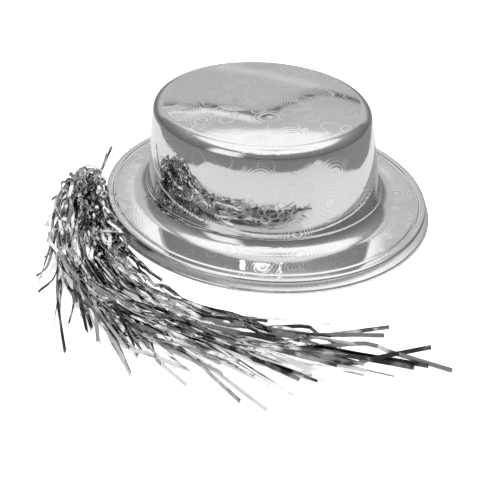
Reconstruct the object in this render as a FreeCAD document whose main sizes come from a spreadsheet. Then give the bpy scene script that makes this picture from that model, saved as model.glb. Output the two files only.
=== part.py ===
import FreeCAD, Part
import math
import os

import Sketcher

# New year party hat: a thin formed oval boater with a tail of metallic tinsel strips.
# The strips are folded round a wire bail, which is pushed through the brim's skirt and clinched
# inside it, so the tail swings on the bail's upright bar.
#
# Frame, in millimetres: the origin is the middle of the head opening, in the plane of the rim.
# +Z is up through the crown, the hat's front faces -Y, and the oval is long along Y.
# The hat lies level on its rim, and the tail hangs from the left rear and curves round to the front.

V = FreeCAD.Vector
DOC = FreeCAD.newDocument("party_hat")

# --- Driving dimensions ------------------------------------------------------------------------

SIZES = {
    # The oval: every radius of the shell is across X, and Y is longer by this ratio.
    "oval_ratio": 1.15,
    "wall": 0.5,
    # The outer outline of the shell, from the foot of the skirt in to the crown.
    "foot_radius": 127.4, "foot_height": 0.0,
    "instep_radius": 125.9, "instep_height": 1.6,
    "corner_radius": 124.6, "corner_height": 10.0,
    "bead_radius": 119.6, "bead_height": 10.0,
    "groove_radius": 118.6, "groove_height": 8.9,
    "brim_radius": 117.4, "brim_height": 9.5,
    "base_radius": 90.3, "base_height": 9.5,
    "crown_radius": 80.4, "crown_height": 90.0,
    "top_fillet": 8.5, "base_fillet": 13.0, "corner_fillet": 2.2,
    # The bail: where it stands on the skirt, and its wire.
    "bail_angle": 140.0, "bail_height": 4.5,
    "wire_radius": 0.4, "wire_bend": 0.8,
    "bar_reach": 3.3, "leg_spacing": 4.2,
    "clinch_depth": 2.3, "clinch_length": 0.9,
    "hole_radius": 0.5,
    # The backing patch behind the skirt.
    "patch_width": 12.0, "patch_height": 6.0, "patch_thickness": 0.6, "patch_gap": 0.22,
    # The folded strips on the bar, and the band wound round their neck.
    "fold_radius": 2.7, "fold_bore": 0.47, "fold_height": 2.8,
    "neck_width": 3.4, "neck_reach": 9.0,
    "band_start": 4.4, "band_length": 2.4, "band_thickness": 0.6,
    # The locks: bundles of strips, and the strips that lie loose beside them.
    "lock_root_width": 3.0, "lock_width": 15.0, "lock_tip_width": 11.0,
    "lock_root_thickness": 1.6, "lock_thickness": 2.6, "lock_tip_thickness": 1.4,
    "strip_width": 3.0, "strip_thickness": 0.6,
}

SHEET = DOC.addObject("Spreadsheet::Sheet", "sizes")
for row, (word, value) in enumerate(SIZES.items(), start=1):
    SHEET.set(f"A{row}", word)
    SHEET.set(f"B{row}", str(value))
    SHEET.setAlias(f"B{row}", word)
DOC.recompute()


def size(word):
    return float(SHEET.get(word))


def bound(thing, **cells):
    """Bind each property to an expression in the sheet's words."""
    for prop, expression in cells.items():
        thing.setExpression(prop, expression)
    return thing


def part(kind, name, **cells):
    return bound(DOC.addObject(f"Part::{kind}", name), **cells)


def cut(name, base, tool):
    result = DOC.addObject("Part::Cut", name)
    result.Base = base
    result.Tool = tool
    return result


def named(thing, label):
    thing.Label = label
    return thing


# --- Hat shell ---------------------------------------------------------------------------------

OUTLINE = ("foot", "instep", "corner", "bead", "groove", "brim", "base", "crown")
FILLETS = (("crown", "top_fillet"), ("base", "base_fillet"), ("corner", "corner_fillet"))


def shell_outline():
    """The outer outline as a bound sketch in the XZ plane, from the foot in to the axis."""
    sketch = DOC.addObject("Sketcher::SketchObject", "shell_outline")
    sketch.Placement = FreeCAD.Placement(V(0, 0, 0), FreeCAD.Rotation(V(1, 0, 0), 90))
    corners = [V(size(f"{word}_radius"), size(f"{word}_height"), 0) for word in OUTLINE]
    middle = V(0, size("crown_height"), 0)
    for start, end in zip(corners, corners[1:] + [middle]):
        sketch.addGeometry(Part.LineSegment(start, end))
    for line in range(len(OUTLINE) - 1):
        sketch.addConstraint(Sketcher.Constraint("Coincident", line, 2, line + 1, 1))
    for line, word in enumerate(OUTLINE):
        across = Sketcher.Constraint("DistanceX", -1, 1, line, 1, corners[line].x)
        sketch.setExpression(f"Constraints[{sketch.addConstraint(across)}]", f"sizes.{word}_radius")
        if word == "foot":
            sketch.addConstraint(Sketcher.Constraint("PointOnObject", line, 1, -1))
            continue
        upright = Sketcher.Constraint("DistanceY", -1, 1, line, 1, corners[line].y)
        sketch.setExpression(f"Constraints[{sketch.addConstraint(upright)}]", f"sizes.{word}_height")
    crown_top = len(OUTLINE) - 1
    sketch.addConstraint(Sketcher.Constraint("PointOnObject", crown_top, 2, -2))
    sketch.addConstraint(Sketcher.Constraint("Horizontal", crown_top))
    DOC.recompute()
    for word, radius in FILLETS:
        arc = sketch.GeometryCount
        sketch.fillet(OUTLINE.index(word) - 1, 2, size(radius), True, True)
        bend = Sketcher.Constraint("Radius", arc, size(radius))
        sketch.setExpression(f"Constraints[{sketch.addConstraint(bend)}]", f"sizes.{radius}")
    DOC.recompute()
    return sketch


def hat_shell():
    wall = DOC.addObject("Part::Offset2D", "shell_wall")
    wall.Source = shell_outline()
    wall.Mode = "Skin"
    wall.Join = "Intersection"
    wall.Fill = True
    bound(wall, Value="sizes.wall")
    turned = DOC.addObject("Part::Revolution", "shell_round")
    turned.Source = wall
    turned.Base = V(0, 0, 0)
    turned.Axis = V(0, 0, 1)
    turned.Angle = 360
    oval = DOC.addObject("Part::Scale", "shell_oval")
    oval.Base = turned
    oval.Uniform = False
    oval.XScale = 1
    oval.ZScale = 1
    bound(oval, YScale="sizes.oval_ratio")
    # The trim knife leaves the foot as a flat ring at the height of the floor.
    knife = part("Box", "trim_knife", Length="4 * sizes.foot_radius", Width="4 * sizes.foot_radius",
                 Height="2 * sizes.corner_height")
    reach = 2 * size("foot_radius")
    knife.Placement.Base = V(-reach, -reach, -2 * size("corner_height"))
    return named(cut("shell_trimmed", oval, knife), "hat_shell")


# --- Where the bail stands ---------------------------------------------------------------------


def skirt_slope():
    """How far the skirt leans in, in degrees from upright."""
    lean = size("instep_radius") - size("corner_radius")
    return math.degrees(math.atan(lean / (size("corner_height") - size("instep_height"))))


def bail_frame():
    """The bail's own frame: X out of the skirt, Y along it, Z up, origin on its outer face."""
    rise = size("bail_height") - size("instep_height")
    radius = size("instep_radius") - rise * math.tan(math.radians(skirt_slope()))
    turn = math.radians(size("bail_angle"))
    face = V(radius * math.cos(turn), radius * size("oval_ratio") * math.sin(turn),
             size("bail_height"))
    outward = math.degrees(math.atan2(math.sin(turn) / size("oval_ratio"), math.cos(turn)))
    return FreeCAD.Placement(face, FreeCAD.Rotation(V(0, 0, 1), outward))


def at_bail(thing, x=0.0, y=0.0, z=0.0, turn=FreeCAD.Rotation()):
    thing.Placement = bail_frame() * FreeCAD.Placement(V(x, y, z), turn)
    return thing


ALONG_X = FreeCAD.Rotation(V(0, 1, 0), 90)


# --- Bail and its backing patch ----------------------------------------------------------------


def bail_path():
    """The wire's centre line in its own XZ plane: bar, two legs, and two clinched ends."""
    bend = size("wire_bend")
    half = size("leg_spacing") / 2
    bar = size("bar_reach")
    inner = -size("clinch_depth")
    end = half - bend - size("clinch_length")
    slack = bend * (1 - math.sqrt(0.5))
    edges = [Part.LineSegment(V(bar, 0, bend - half), V(bar, 0, half - bend))]
    for side in (-1, 1):
        leg = side * half
        outer_mid = V(bar - slack, 0, side * (half - slack))
        inner_mid = V(inner + slack, 0, side * (half - slack))
        edges += [
            Part.Arc(V(bar, 0, side * (half - bend)), outer_mid, V(bar - bend, 0, leg)),
            Part.LineSegment(V(bar - bend, 0, leg), V(inner + bend, 0, leg)),
            Part.Arc(V(inner + bend, 0, leg), inner_mid, V(inner, 0, side * (half - bend))),
            Part.LineSegment(V(inner, 0, side * (half - bend)), V(inner, 0, side * end)),
        ]
    path = DOC.addObject("Part::Feature", "bail_path")
    path.Shape = Part.Wire(Part.__sortEdges__([edge.toShape() for edge in edges]))
    return path


def wire_bail():
    """A round wire swept along the bail's path; the section stands at the path's free end."""
    path = bail_path()
    first = path.Shape.Edges[0]
    tangent = first.tangentAt(first.FirstParameter)
    ring = part("Circle", "wire_section", Radius="sizes.wire_radius")
    ring.Placement = FreeCAD.Placement(path.Shape.OrderedVertexes[0].Point,
                                       FreeCAD.Rotation(V(0, 0, 1), tangent))
    wire = DOC.addObject("Part::Sweep", "bail_sweep")
    wire.Sections = [ring]
    wire.Spine = (path, [])
    wire.Solid = True
    wire.Frenet = False
    return named(at_bail(wire), "wire_bail")


def backing_patch():
    plate = part("Box", "patch_plate", Length="sizes.patch_thickness", Width="sizes.patch_width",
                 Height="sizes.patch_height")
    behind = -(size("wall") + size("patch_gap") + size("patch_thickness"))
    lean = FreeCAD.Rotation(V(0, 1, 0), -skirt_slope())
    corner = lean.multVec(V(behind, -size("patch_width") / 2, -size("patch_height") / 2))
    at_bail(plate, corner.x, corner.y, corner.z, lean)
    for word, side in (("lower", -1), ("upper", 1)):
        drill = part("Cylinder", f"{word}_drill", Radius="sizes.hole_radius",
                     Height="4 * sizes.clinch_depth")
        at_bail(drill, -2 * size("clinch_depth"), 0, side * size("leg_spacing") / 2, ALONG_X)
        plate = cut(f"patch_{word}_pierced", plate, drill)
    return named(plate, "backing_patch")


# --- The tail's fold, neck and band ------------------------------------------------------------


def tail_fold():
    """The strips folded round the bar, with the neck that leaves it straight out."""
    low = -size("fold_height") / 2
    ring = part("Cylinder", "fold_ring", Radius="sizes.fold_radius", Height="sizes.fold_height")
    neck = part("Box", "fold_neck", Length="sizes.neck_reach", Width="sizes.neck_width",
                Height="sizes.fold_height")
    bore = part("Cylinder", "fold_bore", Radius="sizes.fold_bore", Height="sizes.fold_height")
    for piece, side in ((ring, 0), (neck, -size("neck_width") / 2), (bore, 0)):
        at_bail(piece, size("bar_reach"), side, low)
    body = DOC.addObject("Part::MultiFuse", "fold_body")
    body.Shapes = [ring, neck]
    return named(cut("fold_bored", body, bore), "tail_fold")


def neck_band():
    wall = size("band_thickness")
    start = size("bar_reach") + size("band_start")
    outer = part("Box", "band_outer", Length="sizes.band_length",
                 Width="sizes.neck_width + 2 * sizes.band_thickness",
                 Height="sizes.fold_height + 2 * sizes.band_thickness")
    inner = part("Box", "band_inner", Length="sizes.band_length", Width="sizes.neck_width",
                 Height="sizes.fold_height")
    half_width = size("neck_width") / 2
    half_height = size("fold_height") / 2
    at_bail(outer, start, -half_width - wall, -half_height - wall)
    at_bail(inner, start, -half_width, -half_height)
    return named(cut("band_ring", outer, inner), "neck_band")


# --- Locks and loose strips --------------------------------------------------------------------

# Each route's middle line, after the end of the neck, as chosen points in the hat's frame.
LOCKS = {
    "lock_core": [(-118, 92, 17), (-130, 72, 25), (-146, 50, 22), (-161, 30, 14), (-173, 6, 9),
                  (-179, -28, 7), (-172, -68, 6), (-158, -104, 5), (-141, -137, 5),
                  (-120, -168, 4), (-97, -204, 4), (-72, -240, 3)],
    "lock_inner": [(-116, 86, 15), (-128, 62, 19), (-141, 36, 15), (-151, 2, 9), (-156, -32, 7),
                   (-150, -68, 6), (-133, -106, 5), (-108, -140, 4), (-86, -168, 4),
                   (-60, -190, 3)],
    "lock_outer": [(-118, 98, 22), (-134, 86, 32), (-156, 65, 30), (-173, 44, 20), (-185, 18, 11),
                   (-192, -14, 7), (-192, -52, 5), (-185, -90, 4), (-170, -128, 4),
                   (-155, -158, 3), (-140, -182, 3)],
    "lock_low": [(-118, 96, 12), (-140, 78, 16), (-165, 48, 11), (-184, 10, 5), (-196, -30, 4),
                 (-200, -70, 3), (-195, -108, 3), (-186, -140, 3), (-176, -168, 3)],
    "lock_arch": [(-114, 102, 26), (-125, 93, 38), (-146, 79, 42), (-167, 65, 34), (-183, 44, 24),
                  (-195, 12, 14), (-202, -24, 9), (-203, -62, 8), (-197, -98, 7), (-186, -132, 7)],
}
LOOSE_STRIPS = [
    [(-114, 98, 30), (-126, 95, 44), (-150, 84, 48), (-172, 72, 40), (-190, 50, 26)],
    [(-118, 96, 22), (-142, 76, 32), (-172, 44, 24), (-202, 2, 13), (-222, -36, 5),
     (-232, -54, 2)],
    [(-120, 98, 20), (-148, 76, 26), (-176, 54, 17), (-193, 40, 8), (-205, 28, 2)],
    [(-122, 96, 22), (-152, 66, 26), (-184, 20, 18), (-202, -30, 13), (-209, -68, 8),
     (-213, -102, 2)],
]


def bundle(points, widths, thicknesses):
    """A closed flat bundle along the route; widths and thicknesses are at root, middle and tip."""
    root = bail_frame().multVec(V(size("bar_reach") + size("neck_reach"), 0, 0))
    route = [root] + [V(*point) for point in points]
    count = len(route)
    sections = []
    for index, point in enumerate(route):
        ahead = route[min(index + 1, count - 1)] - route[max(index - 1, 0)]
        across = ahead.cross(V(0, 0, 1)).normalize()
        above = across.cross(ahead).normalize()
        along = index / (count - 1)
        width = blend(widths, along)
        thickness = blend(thicknesses, along)
        corners = [point + across * (width / 2 * a) + above * (thickness / 2 * b)
                   for a, b in ((-1, -1), (1, -1), (1, 1), (-1, 1))]
        sections.append(Part.makePolygon(corners + corners[:1]))
    return Part.makeLoft(sections, True, True)


def blend(values, along):
    """Root to middle over the first third of the route, then middle to tip."""
    root, middle, tip = values
    third = 1 / 3
    if along < third:
        return root + (middle - root) * along / third
    return middle + (tip - middle) * (along - third) / (1 - third)


def tinsel_lock(name, points):
    lock = DOC.addObject("Part::Feature", name)
    lock.Shape = bundle(points, [size(f"lock_{word}width") for word in ("root_", "", "tip_")],
                        [size(f"lock_{word}thickness") for word in ("root_", "", "tip_")])
    return named(lock, name)


def loose_strips():
    strips = DOC.addObject("Part::Feature", "strips")
    strips.Shape = Part.makeCompound([
        bundle(points, [size("strip_width")] * 3, [size("strip_thickness")] * 3)
        for points in LOOSE_STRIPS])
    return named(strips, "loose_strips")


# --- Build, check and write --------------------------------------------------------------------


def main():
    parts = [hat_shell(), wire_bail(), backing_patch(), tail_fold(), neck_band()]
    parts += [tinsel_lock(name, points) for name, points in LOCKS.items()]
    parts.append(loose_strips())
    DOC.recompute()
    for thing in DOC.Objects:
        if "Invalid" in thing.State or "Error" in thing.State:
            raise RuntimeError(f"{thing.Name} failed: {thing.State}")
    os.makedirs("parts", exist_ok=True)
    for thing in parts:
        shape = thing.Shape
        if shape.isNull() or not shape.isValid() or shape.Volume <= 0:
            raise RuntimeError(f"{thing.Label} has no valid shape")
        box = shape.BoundBox
        print(f"{thing.Label}: {shape.Volume:.1f} mm3, {len(shape.Solids)} solids, "
              f"z {box.ZMin:.2f} to {box.ZMax:.2f}")
    for thing in parts:
        thing.Shape.exportStep(f"parts/{thing.Label}.step")


main()
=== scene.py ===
import math
import random

import bpy
from mathutils import Matrix, Vector, noise


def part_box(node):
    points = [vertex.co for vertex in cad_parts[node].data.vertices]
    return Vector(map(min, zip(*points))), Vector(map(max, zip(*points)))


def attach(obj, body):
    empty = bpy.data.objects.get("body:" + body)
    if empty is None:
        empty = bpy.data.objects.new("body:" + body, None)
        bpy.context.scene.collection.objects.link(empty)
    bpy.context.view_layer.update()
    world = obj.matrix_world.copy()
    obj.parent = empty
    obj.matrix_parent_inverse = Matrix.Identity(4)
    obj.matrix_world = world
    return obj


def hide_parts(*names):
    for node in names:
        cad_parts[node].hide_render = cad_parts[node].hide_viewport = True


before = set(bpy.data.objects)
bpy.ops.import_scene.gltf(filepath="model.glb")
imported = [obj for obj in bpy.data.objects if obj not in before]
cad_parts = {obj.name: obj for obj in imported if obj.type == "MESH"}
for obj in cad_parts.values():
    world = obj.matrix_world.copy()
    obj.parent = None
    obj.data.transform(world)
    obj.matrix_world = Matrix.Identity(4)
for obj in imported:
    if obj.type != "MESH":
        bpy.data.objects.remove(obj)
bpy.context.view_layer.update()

MM = 0.001

# --- Sizes from the frame ------------------------------------------------------------------------

SHELL_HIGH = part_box("hat_shell")[1]
FOOT = SHELL_HIGH.x
OVAL = SHELL_HIGH.y / SHELL_HIGH.x
CROWN_TOP = SHELL_HIGH.z

# --- Camera ------------------------------------------------------------------------------------

CAMERA_AZIMUTH = math.radians(-41.55)
CAMERA_ELEVATION = math.radians(34.08)
CAMERA_ROLL = math.radians(-1.76)
CAMERA_DISTANCE = 0.6305
CAMERA_TARGET = Vector((-0.0591, -0.0370, 0.0))
CAMERA_LENS = 60.0
CAMERA_SENSOR = 36.0


def make_camera():
    """The camera looks down on the hat from its front left, with a slight roll."""
    flat = math.cos(CAMERA_ELEVATION)
    back = Vector((math.sin(CAMERA_AZIMUTH) * flat, -math.cos(CAMERA_AZIMUTH) * flat,
                   math.sin(CAMERA_ELEVATION)))
    level = Vector((math.cos(CAMERA_AZIMUTH), math.sin(CAMERA_AZIMUTH), 0.0))
    upright = back.cross(level)
    right = level * math.cos(CAMERA_ROLL) + upright * math.sin(CAMERA_ROLL)
    up = back.cross(right)
    data = bpy.data.cameras.new("camera")
    data.lens = CAMERA_LENS
    data.sensor_width = CAMERA_SENSOR
    camera = bpy.data.objects.new("camera", data)
    place = Matrix((right, up, back)).transposed().to_4x4()
    place.translation = CAMERA_TARGET + back * CAMERA_DISTANCE
    camera.matrix_world = place
    bpy.context.scene.collection.objects.link(camera)
    bpy.context.scene.camera = camera


make_camera()

# --- Small helpers -----------------------------------------------------------------------------


def new_object(name, verts, faces, made, smooth=True):
    mesh = bpy.data.meshes.new(name)
    mesh.from_pydata([tuple(v) for v in verts], [], faces)
    mesh.validate()
    mesh.polygons.foreach_set("use_smooth", [smooth] * len(mesh.polygons))
    mesh.materials.append(made)
    thing = bpy.data.objects.new(name, mesh)
    bpy.context.scene.collection.objects.link(thing)
    return thing


class Nodes:
    """Short calls for building a node tree."""

    def __init__(self, tree):
        self.tree = tree
        tree.nodes.clear()

    def add(self, kind, **settings):
        """A node with its settings; those that start with in_ set the inputs of that name."""
        node = self.tree.nodes.new(kind)
        for key, value in settings.items():
            if key.startswith("in_"):
                node.inputs[key[3:].replace("_", " ")].default_value = value
            else:
                setattr(node, key, value)
        return node

    def link(self, source, target):
        self.tree.links.new(source, target)

    def math(self, operation, first, second=None, third=None, clamp=False):
        """A sum on up to three values, each a number or a socket."""
        node = self.add("ShaderNodeMath", operation=operation, use_clamp=clamp)
        for index, value in enumerate((first, second, third)):
            if value is None:
                continue
            if isinstance(value, (int, float)):
                node.inputs[index].default_value = value
            else:
                self.link(value, node.inputs[index])
        return node.outputs[0]

    def mix(self, factor, first, second):
        """A mix of two colours, each a colour or a socket."""
        node = self.add("ShaderNodeMix", data_type="RGBA")
        for socket, value in ((node.inputs[0], factor), (node.inputs[6], first),
                              (node.inputs[7], second)):
            if hasattr(value, "links"):
                self.link(value, socket)
            else:
                socket.default_value = value
        return node.outputs[2]

    def ramp(self, factor, stops):
        """A brightness that runs through the stops, each a place from 0 to 1 and a value."""
        node = self.add("ShaderNodeValToRGB")
        ramp = node.color_ramp.elements
        while len(ramp) > 1:
            ramp.remove(ramp[-1])
        ramp[0].position, ramp[0].color = stops[0][0], grey(stops[0][1])
        for place, value in stops[1:]:
            ramp.new(place).color = grey(value)
        self.link(factor, node.inputs[0])
        return node.outputs[0]


def grey(value):
    return (value, value, value, 1.0)


def material(name):
    """A new material, its node tree and its output node."""
    made = bpy.data.materials.new(name)
    made.use_nodes = True
    nodes = Nodes(made.node_tree)
    output = nodes.add("ShaderNodeOutputMaterial")
    return made, nodes, output


# --- Stage: pale floor and soft studio light -----------------------------------------------------

FLOOR_RADIUS = 6.0
FLOOR_SIDES = 96
# The floor to the eye: its colour, and the glow that makes it white.
FLOOR_TONE = 0.9
FLOOR_GLOW = 0.5
# Seen in mirror surfaces, the floor is a pale sheet that ends this far out: compass turn (0 to 1,
# anticlockwise from +X) and distance in metres.
SHEET_EDGE = (
    (0.00, 0.235), (0.12, 0.27), (0.28, 0.287), (0.305, 0.303), (0.33, 0.284), (0.372, 0.286),
    (0.422, 0.287), (0.45, 0.315), (0.467, 0.385), (0.506, 0.414), (0.536, 0.426), (0.60, 0.523),
    (0.669, 0.508), (0.703, 0.534), (0.744, 0.602), (0.778, 0.446), (0.819, 0.319), (0.864, 0.255),
    (0.914, 0.236), (1.00, 0.235),
)
# The tail's shade on the sheet, as far out as this.
SHADE_EDGE = (
    (0.29, 0.10), (0.303, 0.150), (0.331, 0.180), (0.367, 0.195), (0.39, 0.215), (0.42, 0.230),
    (0.447, 0.245), (0.49, 0.235), (0.54, 0.240), (0.58, 0.235), (0.62, 0.235), (0.65, 0.225),
    (0.68, 0.210), (0.70, 0.10),
)
SHADE_TONE = ((0.30, 0.22), (0.45, 0.28), (0.55, 0.42), (0.70, 0.50))
SHEET_TONE = 0.60
BEYOND_TONE = 0.20
# Close to the skirt, out to this oval radius, the sheet is lit, and dark where it's shaded.
SKIRT_EDGE = 0.142
SKIRT_TONE = 0.85
SKIRT_DARK = 0.12
SKIRT_SHADE = (
    (0.00, 0.4), (0.05, 0.0), (0.36, 0.0), (0.41, 0.85), (0.57, 0.85), (0.63, 0.15), (0.73, 0.0),
    (0.80, 0.60), (0.90, 0.90), (1.00, 0.4),
)
# The hat's own shade on the sheet lies between these oval radii.
RIM_SHADE_START = 0.138
RIM_SHADE_EDGE = (
    (0.00, 0.172), (0.08, 0.145), (0.55, 0.142), (0.60, 0.147), (0.70, 0.149), (0.77, 0.151),
    (0.82, 0.158), (0.86, 0.166), (0.93, 0.176), (1.00, 0.172),
)
RIM_SHADE_TONE = 0.27
# How softly these edges fade, to either side, in metres.
SHEET_SOFT = 0.006
SHADE_SOFT = 0.02
SKIRT_SOFT = 0.008
RIM_SHADE_SOFT = (0.004, 0.0015)


def compass_turn(nodes, east, north):
    """The share of a whole turn from +X, between 0 and 1."""
    angle = nodes.math("ARCTAN2", north, east)
    return nodes.math("FRACT", nodes.math("MULTIPLY", angle, 1 / (2 * math.pi)))


def within(nodes, value, edge, soft):
    """1 where the value is below the edge, and 0 above it."""
    over = nodes.math("SUBTRACT", value, edge)
    step = nodes.add("ShaderNodeMapRange", interpolation_type="SMOOTHSTEP", in_From_Min=-soft,
                     in_From_Max=soft, in_To_Min=1.0, in_To_Max=0.0)
    nodes.link(over, step.inputs["Value"])
    return step.outputs[0]


def far_out(nodes, east, north):
    """The distance from the middle of the hat."""
    return nodes.math("SQRT", nodes.math("ADD", nodes.math("MULTIPLY", east, east),
                                         nodes.math("MULTIPLY", north, north)))


def sheet_tone(nodes, east, north):
    """The floor's tone in mirror surfaces: the sheet, what lies beyond it, and the shades on it."""
    turn = compass_turn(nodes, east, north)
    radius = far_out(nodes, east, north)
    oval_radius = far_out(nodes, east, nodes.math("MULTIPLY", north, 1 / OVAL))
    on_sheet = within(nodes, radius, nodes.ramp(turn, SHEET_EDGE), SHEET_SOFT)
    near_skirt = within(nodes, oval_radius, SKIRT_EDGE, SKIRT_SOFT)
    by_skirt = nodes.math("MULTIPLY", near_skirt, nodes.ramp(turn, SKIRT_SHADE))
    by_tail = within(nodes, radius, nodes.ramp(turn, SHADE_EDGE), SHADE_SOFT)
    in_shade = nodes.math("SUBTRACT", by_tail, near_skirt, clamp=True)
    edge = nodes.ramp(turn, RIM_SHADE_EDGE)
    rim_shade = nodes.math("SUBTRACT", within(nodes, oval_radius, edge, RIM_SHADE_SOFT[1]),
                           within(nodes, oval_radius, RIM_SHADE_START, RIM_SHADE_SOFT[0]),
                           clamp=True)
    tone = nodes.mix(on_sheet, grey(BEYOND_TONE), grey(SHEET_TONE))
    tone = nodes.mix(in_shade, tone, nodes.ramp(turn, SHADE_TONE))
    tone = nodes.mix(near_skirt, tone, grey(SKIRT_TONE))
    tone = nodes.mix(by_skirt, tone, grey(SKIRT_DARK))
    return nodes.mix(rim_shade, tone, grey(RIM_SHADE_TONE))


def make_floor():
    """White to the eye. In mirror surfaces it is a pale sheet, shaded under the tail."""
    made, nodes, output = material("pale_floor")
    split = nodes.add("ShaderNodeSeparateXYZ")
    nodes.link(nodes.add("ShaderNodeTexCoord").outputs["Object"], split.inputs[0])
    tone = sheet_tone(nodes, split.outputs["X"], split.outputs["Y"])
    rays = nodes.add("ShaderNodeLightPath")
    surface = nodes.add("ShaderNodeBsdfDiffuse")
    nodes.link(nodes.mix(rays.outputs["Is Glossy Ray"], grey(FLOOR_TONE), tone),
               surface.inputs["Color"])
    glow = nodes.add("ShaderNodeEmission", in_Color=grey(1.0))
    nodes.link(nodes.math("MULTIPLY", rays.outputs["Is Camera Ray"], FLOOR_GLOW),
               glow.inputs["Strength"])
    both = nodes.add("ShaderNodeAddShader")
    nodes.link(surface.outputs[0], both.inputs[0])
    nodes.link(glow.outputs[0], both.inputs[1])
    nodes.link(both.outputs[0], output.inputs["Surface"])
    turns = [2 * math.pi * side / FLOOR_SIDES for side in range(FLOOR_SIDES)]
    verts = [(FLOOR_RADIUS * math.cos(turn), FLOOR_RADIUS * math.sin(turn), 0.0) for turn in turns]
    new_object("floor", verts, [list(range(FLOOR_SIDES))], made, smooth=False)


# The room's brightness by height, as shares of the way from the horizon to overhead.
FAR_TONES = (
    (0.00, 0.22), (0.14, 0.35), (0.19, 0.58), (0.25, 0.62), (0.40, 0.66), (0.46, 1.10),
    (0.70, 1.25), (0.88, 1.20), (0.96, 0.80), (1.00, 0.66),
)
NEAR_TONES = (
    (0.00, 0.15), (0.08, 0.20), (0.30, 0.25), (0.45, 0.34), (0.54, 0.48), (0.58, 1.10),
    (0.66, 1.30), (0.88, 1.20), (0.96, 0.80), (1.00, 0.66),
)
# The near wall begins where a direction turns toward the camera's side by more than this.
NEAR_WALL = -0.68
NEAR_WALL_SOFT = 0.05
# The far wall's window, between these compass angles in degrees, is bright above its top.
WINDOW = (36.5, 57.0)
WINDOW_SOFT = 0.8
WINDOW_TOP = 28.9
WINDOW_TOP_SOFT = 0.35
TOP_TONE = 1.25
# Its sill waves by up to the reach, in degrees, over a span of compass angles. Each point has its
# share of the way along the span and its shift.
WAVE_START = 35.0
WAVE_SPAN = 22.0
WAVE_REACH = 5.0
SILL_WAVE = (
    (0.110, -1.6), (0.165, -2.1), (0.227, -2.6), (0.291, -2.6), (0.355, -1.5), (0.409, -0.6),
    (0.468, 0.7), (0.527, 1.4), (0.609, 0.8), (0.695, 0.2), (0.768, -0.1), (0.845, 0.1),
    (0.909, -0.4),
)
# Brightness by height above the wave, in degrees.
TONES_FROM = 16.0
TONES_SPAN = 20.0
WINDOW_TONES = (
    (16.5, 0.56), (24.0, 0.60), (24.75, 0.52), (24.95, 0.12), (25.4, 0.12), (25.6, 0.60),
    (27.0, 0.58), (28.5, 0.64), (36.0, 0.70),
)
# Past this compass angle a lit strip runs over the sill, between these heights above the wave.
LIT_TURN = 47.0
LIT_TURN_SOFT = 1.0
LIT_STRIP = (25.6, 26.5)
LIT_SOFT = (0.1, 0.3)
LIT_TONE = 1.1
# A slanting band of haze: the height plus this share of the compass angle is between these. It
# ends at this height above the wave.
HAZE_SLANT = 0.37
HAZE = (36.6, 37.6)
HAZE_SOFT = 0.6
HAZE_TOP = 24.4
HAZE_TOP_SOFT = 0.2
HAZE_TONE = 0.80
# Lamps: compass angle, height, half width and half height, all in degrees.
LAMPS = ((-151.0, 46.7, 10.0, 1.4), (-172.0, 46.5, 3.2, 1.3), (-131.2, 49.2, 2.4, 1.6))
LAMP_TONE = 2.5
LAMP_SOFT = 0.3
# A glowing panel that stands beside the hat and shows only in mirror surfaces, in metres.
PANEL_X = -0.50
PANEL_Y = (-0.19, 0.15)
PANEL_Z = (0.03, 0.45)
PANEL_FADE = 0.10
PANEL_GLOW = 1.15
LIGHT_PLACE = Vector((0.1, 0.1, 1.5))
LIGHT_SIZE = (1.1, 0.9)
LIGHT_WATTS = 22.0


def between(nodes, value, low, high, soft_low, soft_high):
    """1 where the value is between the two edges, and 0 outside them."""
    return nodes.math("MULTIPLY", within(nodes, low, value, soft_low),
                      within(nodes, value, high, soft_high))


def wavy_window(nodes, compass, height):
    """The window's brightness and how far it covers the wall."""
    along = nodes.math("MULTIPLY_ADD", compass, 1 / WAVE_SPAN, -WAVE_START / WAVE_SPAN)
    wave = nodes.ramp(along, [(place, 0.5 + shift / (2 * WAVE_REACH))
                              for place, shift in SILL_WAVE])
    over = nodes.math("SUBTRACT", height,
                      nodes.math("MULTIPLY_ADD", wave, 2 * WAVE_REACH, -WAVE_REACH))
    tones = nodes.ramp(nodes.math("MULTIPLY_ADD", over, 1 / TONES_SPAN, -TONES_FROM / TONES_SPAN),
                       [((place - TONES_FROM) / TONES_SPAN, value)
                        for place, value in WINDOW_TONES])
    lit = nodes.math("MULTIPLY", between(nodes, over, *LIT_STRIP, *LIT_SOFT),
                     within(nodes, LIT_TURN, compass, LIT_TURN_SOFT))
    tones = nodes.mix(lit, tones, grey(LIT_TONE))
    slant = nodes.math("MULTIPLY_ADD", compass, HAZE_SLANT, height)
    haze = nodes.math("MULTIPLY", between(nodes, slant, *HAZE, HAZE_SOFT, HAZE_SOFT),
                      within(nodes, over, HAZE_TOP, HAZE_TOP_SOFT))
    tones = nodes.mix(haze, tones, grey(HAZE_TONE))
    tones = nodes.mix(within(nodes, WINDOW_TOP, height, WINDOW_TOP_SOFT), tones, grey(TOP_TONE))
    return tones, between(nodes, compass, *WINDOW, WINDOW_SOFT, WINDOW_SOFT)


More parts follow.
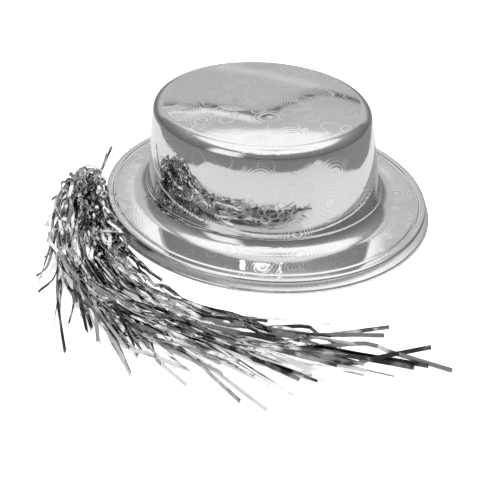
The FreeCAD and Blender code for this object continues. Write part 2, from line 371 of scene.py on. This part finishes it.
def make_world():
    """White to the eye; in reflections a studio whose walls change in tone with height."""
    world = bpy.data.worlds.new("studio")
    bpy.context.scene.world = world
    world.use_nodes = True
    nodes = Nodes(world.node_tree)
    output = nodes.add("ShaderNodeOutputWorld")
    split = nodes.add("ShaderNodeSeparateXYZ")
    nodes.link(nodes.add("ShaderNodeTexCoord").outputs["Generated"], split.inputs[0])
    east, north, up = split.outputs
    rise = nodes.math("ARCSINE", up)
    share = nodes.math("MULTIPLY", rise, 2 / math.pi)
    height = nodes.math("MULTIPLY", rise, 180 / math.pi)
    compass = nodes.math("MULTIPLY", nodes.math("ARCTAN2", north, east), 180 / math.pi)
    toward = nodes.math("ADD", nodes.math("MULTIPLY", east, math.sin(CAMERA_AZIMUTH)),
                        nodes.math("MULTIPLY", north, -math.cos(CAMERA_AZIMUTH)))
    tones, cover = wavy_window(nodes, compass, height)
    far = nodes.mix(cover, nodes.ramp(share, FAR_TONES), tones)
    walls = nodes.mix(within(nodes, toward, NEAR_WALL, NEAR_WALL_SOFT),
                      nodes.ramp(share, NEAR_TONES), far)
    for angle, tall, wide, high in LAMPS:
        across = nodes.math("DIVIDE", nodes.math("SUBTRACT", compass, angle), wide)
        above = nodes.math("DIVIDE", nodes.math("SUBTRACT", height, tall), high)
        reach = nodes.math("ADD", nodes.math("MULTIPLY", across, across),
                           nodes.math("MULTIPLY", above, above))
        walls = nodes.mix(within(nodes, reach, 1.0, LAMP_SOFT), walls, grey(LAMP_TONE))
    rays = nodes.add("ShaderNodeLightPath")
    seen = nodes.add("ShaderNodeBackground", in_Color=grey(1.0))
    room = nodes.add("ShaderNodeBackground", in_Strength=1.0)
    nodes.link(walls, room.inputs["Color"])
    both = nodes.add("ShaderNodeMixShader")
    nodes.link(rays.outputs["Is Camera Ray"], both.inputs[0])
    nodes.link(room.outputs[0], both.inputs[1])
    nodes.link(seen.outputs[0], both.inputs[2])
    nodes.link(both.outputs[0], output.inputs["Surface"])


def make_panel():
    """The panel, which fades out at its edges and lights nothing itself."""
    made, nodes, output = material("panel_glow")
    split = nodes.add("ShaderNodeSeparateXYZ")
    nodes.link(nodes.add("ShaderNodeTexCoord").outputs["Object"], split.inputs[0])
    covers = []
    for socket, (low, high) in ((split.outputs["Y"], PANEL_Y), (split.outputs["Z"], PANEL_Z)):
        off = nodes.math("ABSOLUTE", nodes.math("SUBTRACT", socket, (low + high) / 2))
        covers.append(within(nodes, off, (high - low) / 2 - PANEL_FADE / 2, PANEL_FADE / 2))
    glow = nodes.add("ShaderNodeEmission", in_Color=grey(1.0), in_Strength=PANEL_GLOW)
    both = nodes.add("ShaderNodeMixShader")
    nodes.link(nodes.math("MULTIPLY", *covers), both.inputs[0])
    nodes.link(nodes.add("ShaderNodeBsdfTransparent").outputs[0], both.inputs[1])
    nodes.link(glow.outputs[0], both.inputs[2])
    nodes.link(both.outputs[0], output.inputs["Surface"])
    verts = [(PANEL_X, y, z) for y, z in ((PANEL_Y[0], PANEL_Z[0]), (PANEL_Y[1], PANEL_Z[0]),
                                          (PANEL_Y[1], PANEL_Z[1]), (PANEL_Y[0], PANEL_Z[1]))]
    panel = new_object("panel", verts, [(0, 1, 2, 3)], made, smooth=False)
    panel.visible_camera = False
    panel.visible_diffuse = False
    panel.visible_shadow = False


def make_light():
    """A broad lamp overhead, aimed at the hat and unseen in mirror surfaces."""
    data = bpy.data.lights.new("overhead", "AREA")
    data.shape = "RECTANGLE"
    data.size, data.size_y = LIGHT_SIZE
    data.energy = LIGHT_WATTS
    light = bpy.data.objects.new("overhead", data)
    light.location = LIGHT_PLACE
    light.visible_glossy = False
    light.rotation_mode = "QUATERNION"
    light.rotation_quaternion = (-LIGHT_PLACE).to_track_quat("-Z", "Y")
    bpy.context.scene.collection.objects.link(light)


make_floor()
make_world()
make_panel()
make_light()
bpy.context.scene.view_settings.view_transform = "Standard"

# --- Materials ---------------------------------------------------------------------------------

FILM_TONE = 0.73
SWIRL_SIZE = 31 * MM
RING_PITCH = 2.1 * MM
# Rings are drawn between these distances from a swirl's middle, in swirl sizes, and fade so softly.
RINGED = (0.10, 0.50)
RINGED_SOFT = 0.04
# How thin the drawn rings are, as a power.
RING_THIN = 5.0
# The pattern is pulled out of true by a noise of this scale, by up to this far.
WARP_SCALE = 30.0
WARP = 8 * MM
# Faint circles between the swirls: cells per metre, and the radius, line and its fade in cells.
CIRCLE_CELLS = 58.0
CIRCLE_RADIUS = 0.40
CIRCLE_LINE = 0.022
CIRCLE_SOFT = 0.016
CIRCLE_SHARE = 0.34
# The film is scuffed finely, and worn smooth in larger patches above this value of their noise.
SCUFF_SCALE = 220.0
WORN_SCALE = 40.0
WORN_FROM = 0.44
WORN_SOFT = 0.10
# Roughness of the plain film, and what scuffs and drawn lines add to it.
FILM_ROUGH = 0.015
SCUFF_ROUGH = 0.05
LINE_ROUGH = 0.34
RING_BUMP = 0.11
RING_DEPTH = 0.05 * MM


def noise_texture(nodes, place, scale, detail):
    node = nodes.add("ShaderNodeTexNoise", in_Scale=scale, in_Detail=detail)
    nodes.link(place, node.inputs["Vector"])
    return node.outputs


def swirls(nodes, place):
    """The wave of the rings round each swirl, and how strongly that swirl is embossed."""
    cells = nodes.add("ShaderNodeTexVoronoi", feature="F1", in_Scale=1 / SWIRL_SIZE,
                      in_Randomness=0.6)
    nodes.link(place, cells.inputs["Vector"])
    reach = cells.outputs["Distance"]
    rings = nodes.math("SINE", nodes.math("MULTIPLY", reach,
                                          2 * math.pi * SWIRL_SIZE / RING_PITCH))
    clear = nodes.add("ShaderNodeSeparateColor")
    nodes.link(cells.outputs["Color"], clear.inputs[0])
    ringed = nodes.math("SUBTRACT", within(nodes, reach, RINGED[1], RINGED_SOFT),
                        within(nodes, reach, RINGED[0], RINGED_SOFT), clamp=True)
    strong = nodes.math("MULTIPLY", nodes.math("MULTIPLY_ADD", clear.outputs[0], 0.5, 0.2), ringed)
    return rings, strong


def circles(nodes, place, worn):
    """Thin circles, broken off where the film is worn smooth."""
    cells = nodes.add("ShaderNodeTexVoronoi", feature="F1", in_Scale=CIRCLE_CELLS,
                      in_Randomness=0.8)
    nodes.link(place, cells.inputs["Vector"])
    off = nodes.math("ABSOLUTE", nodes.math("SUBTRACT", cells.outputs["Distance"], CIRCLE_RADIUS))
    drawn = nodes.math("MULTIPLY", within(nodes, off, CIRCLE_LINE, CIRCLE_SOFT),
                       within(nodes, WORN_FROM, worn, WORN_SOFT))
    return nodes.math("MULTIPLY", drawn, CIRCLE_SHARE)


def holographic_film():
    """Mirror-bright film embossed with round swirls of fine rings, some clearer than others."""
    made, nodes, output = material("holographic_film")
    place = nodes.add("ShaderNodeTexCoord").outputs["Object"]
    shifted = nodes.add("ShaderNodeVectorMath", operation="MULTIPLY_ADD")
    nodes.link(noise_texture(nodes, place, WARP_SCALE, 1.0)["Color"], shifted.inputs[0])
    shifted.inputs[1].default_value = (WARP, WARP, WARP)
    nodes.link(place, shifted.inputs[2])
    rings, strong = swirls(nodes, shifted.outputs[0])
    lines = nodes.math("POWER", nodes.math("MULTIPLY_ADD", rings, 0.5, 0.5), RING_THIN)
    drawn = nodes.math("MULTIPLY", lines, nodes.math("MULTIPLY_ADD", strong, 0.75, 0.05))
    scuffs = noise_texture(nodes, place, SCUFF_SCALE, 5.0)[0]
    worn = noise_texture(nodes, place, WORN_SCALE, 2.0)[0]
    drawn = nodes.math("MAXIMUM", drawn, circles(nodes, shifted.outputs[0], worn))
    rough = nodes.math("ADD", nodes.math("MULTIPLY", drawn, LINE_ROUGH),
                       nodes.math("MULTIPLY_ADD", scuffs, SCUFF_ROUGH, FILM_ROUGH))
    bump = nodes.add("ShaderNodeBump", in_Strength=RING_BUMP, in_Distance=RING_DEPTH)
    nodes.link(nodes.math("MULTIPLY", rings, nodes.math("MULTIPLY_ADD", strong, 0.85, 0.10)),
               bump.inputs["Height"])
    surface = nodes.add("ShaderNodeBsdfPrincipled", in_Metallic=1.0)
    nodes.link(nodes.mix(drawn, grey(FILM_TONE), grey(1.0)), surface.inputs["Base Color"])
    nodes.link(rough, surface.inputs["Roughness"])
    nodes.link(bump.outputs[0], surface.inputs["Normal"])
    nodes.link(surface.outputs[0], output.inputs["Surface"])
    return made


# Painted reflection: a strip's face is painted dark, for the dark room it would mirror, where the
# sum of its own chance and its patches passes these.
DARK_FROM = 0.77
DARK_TO = 0.90
PAINTED_DARK_TONE = 0.03
CHANCE_SHARE = 0.55
PATCH_SHARE = 0.9
PATCH_SCALE = 60.0
CREASE_SCALE = 180.0
CREASE_BUMP = 0.25
CREASE_DEPTH = 0.25 * MM


def foil(name, tone, rough, painted_dark_share=0.0):
    """Metallised film strip, faintly creased, with painted shade in the creases' hollows and
    painted highlight on their ridges. The last argument is how far its face is painted dark in
    patches, as painted dark reflections.
    """
    made, nodes, output = material(name)
    place = nodes.add("ShaderNodeTexCoord").outputs["Object"]
    creases = noise_texture(nodes, place, CREASE_SCALE, 3.0)[0]
    fine = noise_texture(nodes, place, 900.0, 2.0)[0]
    # Painted shade and highlight: the tone follows the creases' bump, darker in their hollows and
    # lighter on their ridges.
    colour = nodes.mix(creases, grey(tone * 0.82), grey(min(1.0, tone * 1.12)))
    # Painted reflection: dark patches painted on the face, standing in for the dark room mirrored
    # in it.
    if painted_dark_share:
        patches = noise_texture(nodes, place, PATCH_SCALE, 2.0)[0]
        strip = nodes.add("ShaderNodeNewGeometry").outputs["Random Per Island"]
        shade = nodes.math("MULTIPLY_ADD", strip, CHANCE_SHARE,
                           nodes.math("MULTIPLY", patches, PATCH_SHARE))
        dark = nodes.add("ShaderNodeMapRange", interpolation_type="SMOOTHSTEP",
                         in_From_Min=DARK_FROM, in_From_Max=DARK_TO, in_To_Max=painted_dark_share)
        nodes.link(shade, dark.inputs["Value"])
        colour = nodes.mix(dark.outputs[0], colour, grey(PAINTED_DARK_TONE))
    bump = nodes.add("ShaderNodeBump", in_Strength=CREASE_BUMP, in_Distance=CREASE_DEPTH)
    nodes.link(creases, bump.inputs["Height"])
    surface = nodes.add("ShaderNodeBsdfPrincipled", in_Metallic=1.0)
    nodes.link(colour, surface.inputs["Base Color"])
    nodes.link(nodes.math("MULTIPLY_ADD", fine, 0.12, rough), surface.inputs["Roughness"])
    nodes.link(bump.outputs[0], surface.inputs["Normal"])
    nodes.link(surface.outputs[0], output.inputs["Surface"])
    return made


def mottled(name, metallic, tones, scale, detail, rough):
    """A plain surface whose tone and roughness vary finely."""
    made, nodes, output = material(name)
    place = nodes.add("ShaderNodeTexCoord").outputs["Object"]
    mottle = noise_texture(nodes, place, scale, detail)[0]
    surface = nodes.add("ShaderNodeBsdfPrincipled", in_Metallic=metallic)
    nodes.link(nodes.mix(mottle, *map(grey, tones)), surface.inputs["Base Color"])
    nodes.link(nodes.math("MULTIPLY_ADD", mottle, 0.2, rough), surface.inputs["Roughness"])
    nodes.link(surface.outputs[0], output.inputs["Surface"])
    return made


# --- Hat shell ---------------------------------------------------------------------------------

WALL = 0.5 * MM
AROUND = 432
LONGEST_RUN = 2.2 * MM
BEAD_TOP = 10.0 * MM
GROOVE = 8.9 * MM
BRIM = 9.5 * MM
CROWN_FOOT = FOOT - 37.1 * MM
CROWN_HEAD = FOOT - 47.2 * MM
BASE_ROUND = 13.0 * MM
TOP_ROUND = 8.5 * MM
# The crown's top rises by the dome within this radius, and its wall swells between the roundings.
DOME = 1.2 * MM
DOME_REACH = 72 * MM
SWELL = 0.9 * MM
SWELL_LOW = 14 * MM
SWELL_HIGH = CROWN_TOP - 6 * MM
# The sheet's unevenness sets in over these runs: inward over the top, up the wall and down the
# brim. Below the flat foot there is none, and the brim has a share of the top's.
TOP_RUN = (79 * MM, 71 * MM)
WALL_RUN = (12 * MM, 24 * MM)
BRIM_RUN = (15 * MM, 9 * MM)
FLAT_FOOT = 2 * MM
BRIM_SHARE = 0.55
# Ripples of the wall, in and out, and of the top and brim, up and down: reach, spacing and seed.
WALL_RIPPLES = ((0.10 * MM, 34 * MM, 3.1), (0.03 * MM, 15 * MM, 8.0))
TOP_RIPPLES = ((0.05 * MM, 44 * MM, 5.0), (0.02 * MM, 17 * MM, 1.7))


def part_way(value, start, end):
    """How far the value is on its way from the start to the end, between 0 and 1."""
    return min(1.0, max(0.0, (value - start) / (end - start)))


def rounded(corners):
    """A line through corners given as (radius, height, rounding), each rounded by an arc."""
    line = [Vector(corners[0][:2])]
    for before, here, after in zip(corners, corners[1:], corners[2:]):
        corner = Vector(here[:2])
        back = (Vector(before[:2]) - corner).normalized()
        ahead = (Vector(after[:2]) - corner).normalized()
        half = back.angle(ahead) / 2
        reach = here[2] / math.tan(half)
        centre = corner + (back + ahead).normalized() * (here[2] / math.sin(half))
        start, end = corner + back * reach, corner + ahead * reach
        steps = max(3, int(math.degrees(math.pi - 2 * half) / 4))
        first, last = start - centre, end - centre
        sweep = first.angle_signed(last)
        for step in range(steps + 1):
            turn = Matrix.Rotation(-sweep * step / steps, 2)
            line.append(centre + turn @ first)
    line.append(Vector(corners[-1][:2]))
    return line


def resampled(line, longest):
    """The same line with no run longer than the given length."""
    points = [line[0]]
    for start, end in zip(line, line[1:]):
        steps = max(1, math.ceil((end - start).length / longest))
        points += [start.lerp(end, step / steps) for step in range(1, steps + 1)]
    return points


def shell_line():
    """Outer outline from the foot up to the middle of the crown, with a swollen wall and top."""
    corners = [
        (FOOT, 0.0, 0.0),
        (FOOT - 1.5 * MM, 1.6 * MM, 1.0 * MM),
        (FOOT - 2.9 * MM, BEAD_TOP, 2.2 * MM),
        (FOOT - 7.6 * MM, BEAD_TOP, 0.8 * MM),
        (FOOT - 8.8 * MM, GROOVE, 0.7 * MM),
        (FOOT - 10.4 * MM, BRIM, 1.2 * MM),
        (CROWN_FOOT, BRIM, BASE_ROUND),
        (CROWN_HEAD, CROWN_TOP - DOME, TOP_ROUND),
        (0.0, CROWN_TOP - DOME, 0.0),
    ]
    swollen = []
    for radius, height in resampled(rounded(corners), LONGEST_RUN):
        up = part_way(height, SWELL_LOW, SWELL_HIGH)
        bulge = SWELL * 4 * up * (1 - up)
        on_top = height > CROWN_TOP - DOME - 0.1 * MM
        dome = DOME * (1 - (radius / DOME_REACH) ** 2) if on_top else 0.0
        swollen.append(Vector((radius + bulge, height + max(0.0, dome))))
    return swollen


def inner_line(outer):
    """The outline moved in by the wall's thickness."""
    inner = []
    for index, point in enumerate(outer):
        before = outer[max(index - 1, 0)]
        after = outer[min(index + 1, len(outer) - 1)]
        along = (after - before).normalized()
        inner.append(point + Vector((-along.y, along.x)) * WALL)
    inner[0].y = outer[0].y
    inner[-1].x = 0.0
    return inner


def uneven(place, ripples):
    """The sum of smooth ripples, each with its reach, its spacing and its seed."""
    return sum(reach * 1.6 * noise.noise(place * (0.55 / spacing)
                                         + Vector((seed, 2.3 * seed, 0.7 * seed)))
               for reach, spacing, seed in ripples)


def shell_point(radius, height, turn):
    """A point of the formed sheet: the oval outline with the sheet's slight unevenness."""
    base = Vector((radius * math.cos(turn), radius * OVAL * math.sin(turn), height))
    outward = Vector((math.cos(turn), math.sin(turn), 0.0))
    top = part_way(radius, *TOP_RUN)
    wall = part_way(height, *WALL_RUN) * (1.0 - top)
    push, lift = uneven(base, WALL_RIPPLES), uneven(base, TOP_RIPPLES)
    base += outward * push * wall
    if height > FLAT_FOOT:
        base.z += lift * (top + BRIM_SHARE * part_way(height, *BRIM_RUN))
    return base


def make_hat():
    """The sheet's outer and inner face, joined at the foot and closed at the top."""
    outer = shell_line()
    inner = inner_line(outer)
    verts, faces = [], []
    for line in (outer[:-1], inner[:-1]):
        for radius, height in line:
            for step in range(AROUND):
                verts.append(shell_point(radius, height, 2 * math.pi * step / AROUND))
    rows = len(outer) - 1
    for line in range(2):
        start = line * rows * AROUND
        for row in range(rows - 1):
            for step in range(AROUND):
                a = start + row * AROUND + step
                b = start + row * AROUND + (step + 1) % AROUND
                face = (a, b, b + AROUND, a + AROUND)
                faces.append(face if line == 0 else face[::-1])
    for step in range(AROUND):
        after = (step + 1) % AROUND
        faces.append((after, step, rows * AROUND + step, rows * AROUND + after))
    for line, middle in enumerate((outer[-1], inner[-1])):
        top = len(verts)
        verts.append(shell_point(0.0, middle.y, 0.0))
        ring = line * rows * AROUND + (rows - 1) * AROUND
        for step in range(AROUND):
            face = (ring + step, ring + (step + 1) % AROUND, top)
            faces.append(face if line == 0 else face[::-1])
    hat = new_object("hat_body", verts, faces, holographic_film())
    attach(hat, "hat")
    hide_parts("hat_shell")


make_hat()

# --- Tinsel ------------------------------------------------------------------------------------

ROOT = Vector((-106.0, 100.0, 4.5)) * MM
# The middle line of each lock, in millimetres, from the neck to the tips.
GUIDES = {
    "core": [(-118, 92, 17), (-130, 72, 25), (-146, 50, 22), (-161, 30, 14), (-173, 6, 9),
             (-179, -28, 7), (-172, -68, 6), (-158, -104, 5), (-141, -137, 5), (-120, -168, 4),
             (-97, -204, 4), (-72, -240, 3)],
    "inner": [(-116, 86, 15), (-128, 62, 19), (-141, 36, 15), (-151, 2, 9), (-156, -32, 7),
              (-150, -68, 6), (-133, -106, 5), (-108, -140, 4), (-86, -168, 4), (-60, -190, 3)],
    "outer": [(-118, 98, 22), (-134, 86, 32), (-156, 65, 30), (-173, 44, 20), (-185, 18, 11),
              (-192, -14, 7), (-192, -52, 5), (-185, -90, 4), (-170, -128, 4), (-155, -158, 3),
              (-140, -182, 3)],
    "low": [(-118, 96, 12), (-140, 78, 16), (-165, 48, 11), (-184, 10, 5), (-196, -30, 4),
            (-200, -70, 3), (-195, -108, 3), (-186, -140, 3), (-176, -168, 3)],
    "arch": [(-114, 102, 22), (-125, 93, 30), (-146, 79, 33), (-167, 65, 28), (-183, 44, 20),
             (-195, 12, 14), (-202, -24, 9), (-203, -62, 8), (-197, -98, 7), (-186, -132, 7)],
}
# How many strips follow each guide.
CROWD = {"core": 40, "inner": 28, "outer": 26, "low": 9, "arch": 5}
STRIP_WIDTH = 2.5 * MM
END_WIDTH = 3.0 * MM
STRIP_THICKNESS = 0.14 * MM
STEPS = 56
TINSEL_SEED = 2027
# Strips that leave their guide and run straight to the floor: the guide, where the straight run
# starts and where it ends, in millimetres.
STRAIGHT_RUNS = [
    ("inner", (-125, -150), (-61, -187)), ("core", (-132, -135), (-103, -194)),
    ("inner", (-104, -149), (-98, -177)), ("core", (-109, -194), (-57, -218)),
    ("core", (-88, -186), (-65, -240)),
    ("core", (-112, -170), (-72, -227)), ("outer", (-152, -131), (-140, -180)),
    ("core", (-149, -146), (-132, -188)), ("outer", (-177, -126), (-179, -168)),
    ("outer", (-174, -137), (-172, -184)), ("low", (-196, -108), (-193, -134)),
    ("low", (-203, -66), (-213, -103)), ("low", (-201, -84), (-184, -123)),
    ("outer", (-174, -110), (-165, -134)), ("inner", (-146, -92), (-114, -125)),
    ("core", (-120, -165), (-80, -222)), ("inner", (-130, -140), (-70, -190)),
]
# Strips that leave the tail altogether, in millimetres.
STRAYS = [
    [(-118, 96, 20), (-150, 70, 22), (-172, 48, 8), (-184, 49, 2)],
    [(-120, 98, 16), (-155, 68, 18), (-188, 35, 6), (-201, 32, 2)],
    [(-120, 94, 18), (-160, 60, 20), (-190, 21, 6), (-210, 14, 2)],
    [(-118, 98, 20), (-160, 60, 20), (-186, 24, 10), (-203, -1, 5), (-218, -29, 3), (-231, -55, 2)],
    [(-120, 96, 18), (-165, 50, 18), (-190, 10, 9), (-198, -15, 6), (-214, -33, 3)],
    [(-122, 90, 18), (-128, 50, 16), (-134, 18, 8), (-138, -3, 6), (-146, -30, 2)],
    [(-122, 90, 18), (-130, 50, 16), (-136, 14, 8), (-136, -8, 5), (-133, -37, 2)],
    [(-98, 106, 14), (-92, 102, 22), (-84, 103, 31), (-77.6, 104, 38)],
    [(-97, 106, 13), (-93, 103, 19), (-87, 105, 26), (-82, 107, 32)],
    [(-122, 96, 22), (-158, 52, 20), (-186, 0, 12), (-199, -62, 6), (-212, -102, 2)],
    [(-110, 102, 20), (-119, 88, 32), (-138, 80, 32), (-155, 74, 25), (-168, 72, 12)],
    [(-110, 100, 18), (-114, 88, 29), (-132, 78, 29), (-150, 70, 23), (-163, 66, 11)],
    [(-108, 98, 18), (-110, 88, 27), (-126, 76, 27), (-144, 66, 21), (-158, 58, 12)],
    [(-104, 99, 18), (-104, 88, 28), (-118, 78, 30), (-136, 70, 26), (-152, 60, 18)],
]
# The strips that curl beside the rim instead of running on, and the places they curl round.
CURLS = 64
CURL_PLACES = [
    (-104, 98, 15), (-108, 94, 18), (-112, 89, 19), (-118, 82, 18), (-125, 72, 17), (-131, 60, 15),
    (-136, 46, 13), (-140, 30, 11), (-142, 14, 9), (-128, 84, 21), (-140, 66, 18), (-150, 44, 14),
]
# The strips of the locks bend round one of the first of these places, but for this share of them.
LOOP_PLACES = 9
UNLOOPED = 0.3


def spline(points, count):
    """Points evenly spread along a Catmull-Rom curve through the given ones."""
    path = [points[0] * 2 - points[1]] + points + [points[-1] * 2 - points[-2]]
    fine = []
    for a, b, c, d in zip(path, path[1:], path[2:], path[3:]):
        for k in range(12):
            x = k / 12
            fine.append(0.5 * (2 * b + (c - a) * x + (2 * a - 5 * b + 4 * c - d) * x * x
                               + (3 * b - a - 3 * c + d) * x ** 3))
    fine.append(points[-1])
    lengths = [0.0]
    for start, end in zip(fine, fine[1:]):
        lengths.append(lengths[-1] + (end - start).length)
    spread, here = [], 0
    for k in range(count):
        want = lengths[-1] * k / (count - 1)
        while here < len(fine) - 2 and lengths[here + 1] < want:
            here += 1
        run = max(lengths[here + 1] - lengths[here], 1e-9)
        spread.append(fine[here].lerp(fine[here + 1], (want - lengths[here]) / run))
    return spread


PIVOT = Vector((-98.77, 94.68, 0.0)) * MM
# The turns of the tail, in degrees, at which its strips keep off the rim.
SWING = [Matrix.Rotation(math.radians(turn), 3, "Z") for turn in (5, 0, -25, -50, -75)]
RIM_CLEAR = FOOT + 2.4 * MM
# Above this height a strip may lie over the rim, and reach in this far.
RIM_OVER = 13.2 * MM
RIM_REACH = FOOT - 3.0 * MM
# Each step that moves a point off the rim, and how near the pivot it also rises, in millimetres.
NUDGE = 0.6
NEAR_PIVOT = 34


def oval_radius(point):
    return math.hypot(point.x, point.y / OVAL)


def near_rim(point):
    """Whether the point comes too near the rim anywhere in the tail's swing."""
    return any(oval_radius(PIVOT + turn @ (point - PIVOT)) < RIM_CLEAR for turn in SWING)


def clear_of_rim(point):
    """The point moved out, or up near the pivot, so the swinging tail stays off the rim."""
    point = Vector(point)
    for _ in range(60):
        over = point.z >= RIM_OVER
        if over and (point.y > -OVAL * point.x or oval_radius(point) > RIM_REACH):
            return point
        if not over and not near_rim(point):
            return point
        point += Vector((point.x, point.y / OVAL ** 2, 0.0)).normalized() * NUDGE * MM
        if not over and (point - PIVOT).length < NEAR_PIVOT * MM:
            point.z += NUDGE * MM
    return point


def strip_mesh(path, roll_start, roll_rate, verts, faces, askew, width=STRIP_WIDTH):
    """A closed flat strip along the path, turning about its own line, its ends cut askew."""
    path = path[:1] + [clear_of_rim(point) for point in path[1:]]
    count = len(path)
    first = len(verts)
    for k, point in enumerate(path):
        ahead = (path[min(k + 1, count - 1)] - path[max(k - 1, 0)]).normalized()
        side = ahead.cross(Vector((0, 0, 1)))
        side = side.normalized() if side.length > 0.01 else Vector((1, 0, 0))
        turn = Matrix.Rotation(roll_start + roll_rate * k / count, 3, ahead)
        across = turn @ side
        face = across.cross(ahead)
        lift = STRIP_THICKNESS / 2 + abs(across.z) * width / 2
        middle = Vector(point)
        middle.z = max(middle.z, lift + 0.1 * MM)
        for a, b in ((-1, -1), (1, -1), (1, 1), (-1, 1)):
            skew = ahead * (a * askew if k in (0, count - 1) else 0.0)
            verts.append(middle + across * (a * width / 2) + face * (b * STRIP_THICKNESS / 2)
                         + skew)
    for k in range(count - 1):
        low = first + 4 * k
        for a in range(4):
            b = (a + 1) % 4
            faces.append((low + a, low + b, low + b + 4, low + a + 4))
    faces.append((first + 3, first + 2, first + 1, first))
    last = first + 4 * (count - 1)
    faces.append((last, last + 1, last + 2, last + 3))


# How far the strips of a guide lie to its left, in shares of the spread.
LEAN = {"core": 0.0, "inner": 0.4, "outer": -1.1, "low": -1.3, "arch": -1.2}


def guide_points(guide, count):
    """A guide from the root on, as this many even points."""
    return spline([ROOT] + [Vector(point) * MM for point in GUIDES[guide]], count)


def followed(guide, share, chance, width=5.5, weave=3.2):
    """A strip's own way along a guide: to one side of it, weaving across, and crumpled at first."""
    count = 26
    along = guide_points(guide, count)
    last = max(6, round((count - 1) * share))
    aside, above = LEAN[guide] + chance.gauss(0, 0.75), abs(chance.gauss(0, 1))
    waves = [(chance.uniform(0.8, 2.4), chance.uniform(0, 1)) for _ in range(2)]
    path = []
    for k in range(last + 1):
        far = k / (count - 1)
        grown = min(1.0, far * 5.0)
        crumple = 2.2 if 0.02 < far < 0.30 else 1.0
        ahead = (along[min(k + 1, count - 1)] - along[max(k - 1, 0)]).normalized()
        side = ahead.cross(Vector((0, 0, 1))).normalized()
        swing = [math.sin(2 * math.pi * (rate * far + start)) for rate, start in waves]
        across = aside * width * (0.9 + 0.4 * far) + weave * swing[0]
        lift = above * 3.0 * (1 - 0.5 * far) + 1.6 * swing[1]
        shift = (side * across + Vector((0, 0, lift))) * grown
        shift += Vector([crumple * chance.gauss(0, 1) for _ in range(3)]) * min(1.0, far * 14)
        path.append(along[k] + shift * MM)
    return looped(path, chance)


def looped(path, chance):
    """The path with its first run bent round a place beside the rim, for most strips."""
    if chance.random() < UNLOOPED:
        return path
    place = chance.randrange(LOOP_PLACES)
    hub = Vector(CURL_PLACES[place]) + Vector([chance.gauss(0, 4.0) for _ in range(3)])
    hub = Vector((hub.x, hub.y, max(hub.z, 8.0))) * MM
    radius = chance.uniform(5, 11) * MM
    tilt = Matrix.Rotation(chance.uniform(-0.9, 0.9), 3, "X") @ Matrix.Rotation(
        chance.uniform(-0.9, 0.9), 3, "Y")
    start = chance.uniform(-0.5, 1.5)
    turns = chance.uniform(1.6, 4.2)
    bend = [hub + tilt @ (Vector((math.cos(start + turns * k / 4), math.sin(start + turns * k / 4),
                                  0)) * radius) for k in range(5)]
    later = [point for point in path[2:] if point.y < hub.y - 12 * MM]
    return [path[0]] + bend + later


def straightened(path, run, chance):
    """The path with its last points drawn out straight, as the stiff film lies."""
    if len(path) < run + 8:
        return path
    ahead = (path[-run] - path[-run - 3]).normalized()
    ahead = Matrix.Rotation(chance.gauss(0, 0.10), 3, "Z") @ ahead
    step = (path[-1] - path[-run]).length / (run - 1)
    for k in range(1, run):
        path[k - run] = path[-run] + ahead * step * k
        path[k - run].z = max(path[k - run].z, (1.5 + 2.5 * (1 - k / run)) * MM)
    return path


def curl(chance):
    """A strip that leaves the locks early and curls round beside the rim."""
    along = guide_points(chance.choice(("inner", "inner", "core")), 22)
    place = chance.randrange(len(CURL_PLACES))
    hub = Vector(CURL_PLACES[place]) + Vector([chance.gauss(0, 3.0) for _ in range(3)])
    hub = Vector((hub.x, hub.y, max(hub.z, 7.0))) * MM
    path = [ROOT] + [point for point in along[1:6] if point.y > hub.y + 6 * MM][:3]
    radius = chance.uniform(4, 9) * MM
    tilt = Matrix.Rotation(chance.uniform(-1.0, 1.0), 3, "X") @ Matrix.Rotation(
        chance.uniform(-1.0, 1.0), 3, "Y")
    start = chance.uniform(0, 2 * math.pi)
    turns = chance.choice((-1, 1)) * chance.uniform(2.5, 6.0)
    for k in range(9):
        angle = start + turns * k / 8
        grown = radius * (1 + 0.6 * k / 8)
        path.append(hub + tilt @ (Vector((math.cos(angle), math.sin(angle), 0)) * grown))
    return path


def make_tail():
    chance = random.Random(TINSEL_SEED)
    verts, faces = [], []
    for guide, number in CROWD.items():
        for _ in range(number):
            path = followed(guide, 0.5 + 0.42 * chance.random() ** 1.3, chance)
            path = straightened(path, 5, chance)
            strip_mesh(spline(path, STEPS), chance.uniform(0, math.pi), chance.gauss(0, 3.5),
                       verts, faces, chance.choice((0.0, 0.0, 1.2 * MM, -1.2 * MM)))
    for guide, start, end in STRAIGHT_RUNS:
        start = Vector((*start, chance.uniform(4, 9))) * MM
        end = Vector((*end, chance.uniform(1.8, 3.0))) * MM
        path = [point for point in followed(guide, 1.0, chance, 4.0, 2.0)
                if point.y > start.y + 24 * MM]
        path += [start.lerp(end, k / 4) for k in range(5)]
        strip_mesh(spline(path, STEPS), chance.uniform(0.95, 1.3), chance.gauss(0, 0.1),
                   verts, faces, 0.0, END_WIDTH)
    for points in STRAYS:
        path = [ROOT] + [Vector(point) * MM for point in points]
        strip_mesh(spline(path, STEPS), chance.uniform(0.8, 1.3), chance.gauss(0, 0.5),
                   verts, faces, 0.0)
    for _ in range(CURLS):
        strip_mesh(spline(curl(chance), STEPS), chance.uniform(0, math.pi), chance.gauss(0, 3.0),
                   verts, faces, 0.0)
    # The tinsel's face carries painted dark reflections in patches.
    tail = new_object("tinsel", verts, faces, foil("foil_strip", 0.86, 0.06, 0.85), smooth=False)
    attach(tail, "tail")
    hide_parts("lock_core", "lock_inner", "lock_outer", "lock_low", "lock_arch",
                "loose_strips")


make_tail()

# --- Finishes of the pieces that come from the frame ------------------------------------------


def paint(node, made):
    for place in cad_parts[node].material_slots:
        place.material = made


paint("wire_bail", mottled("drawn_wire", 1.0, (0.42, 0.66), 1500.0, 3.0, 0.18))
paint("backing_patch", mottled("patch_sheet", 0.0, (0.72, 0.84), 600.0, 4.0, 0.4))
paint("neck_band", foil("band_film", 0.74, 0.12))
paint("tail_fold", foil("folded_strips", 0.78, 0.12))
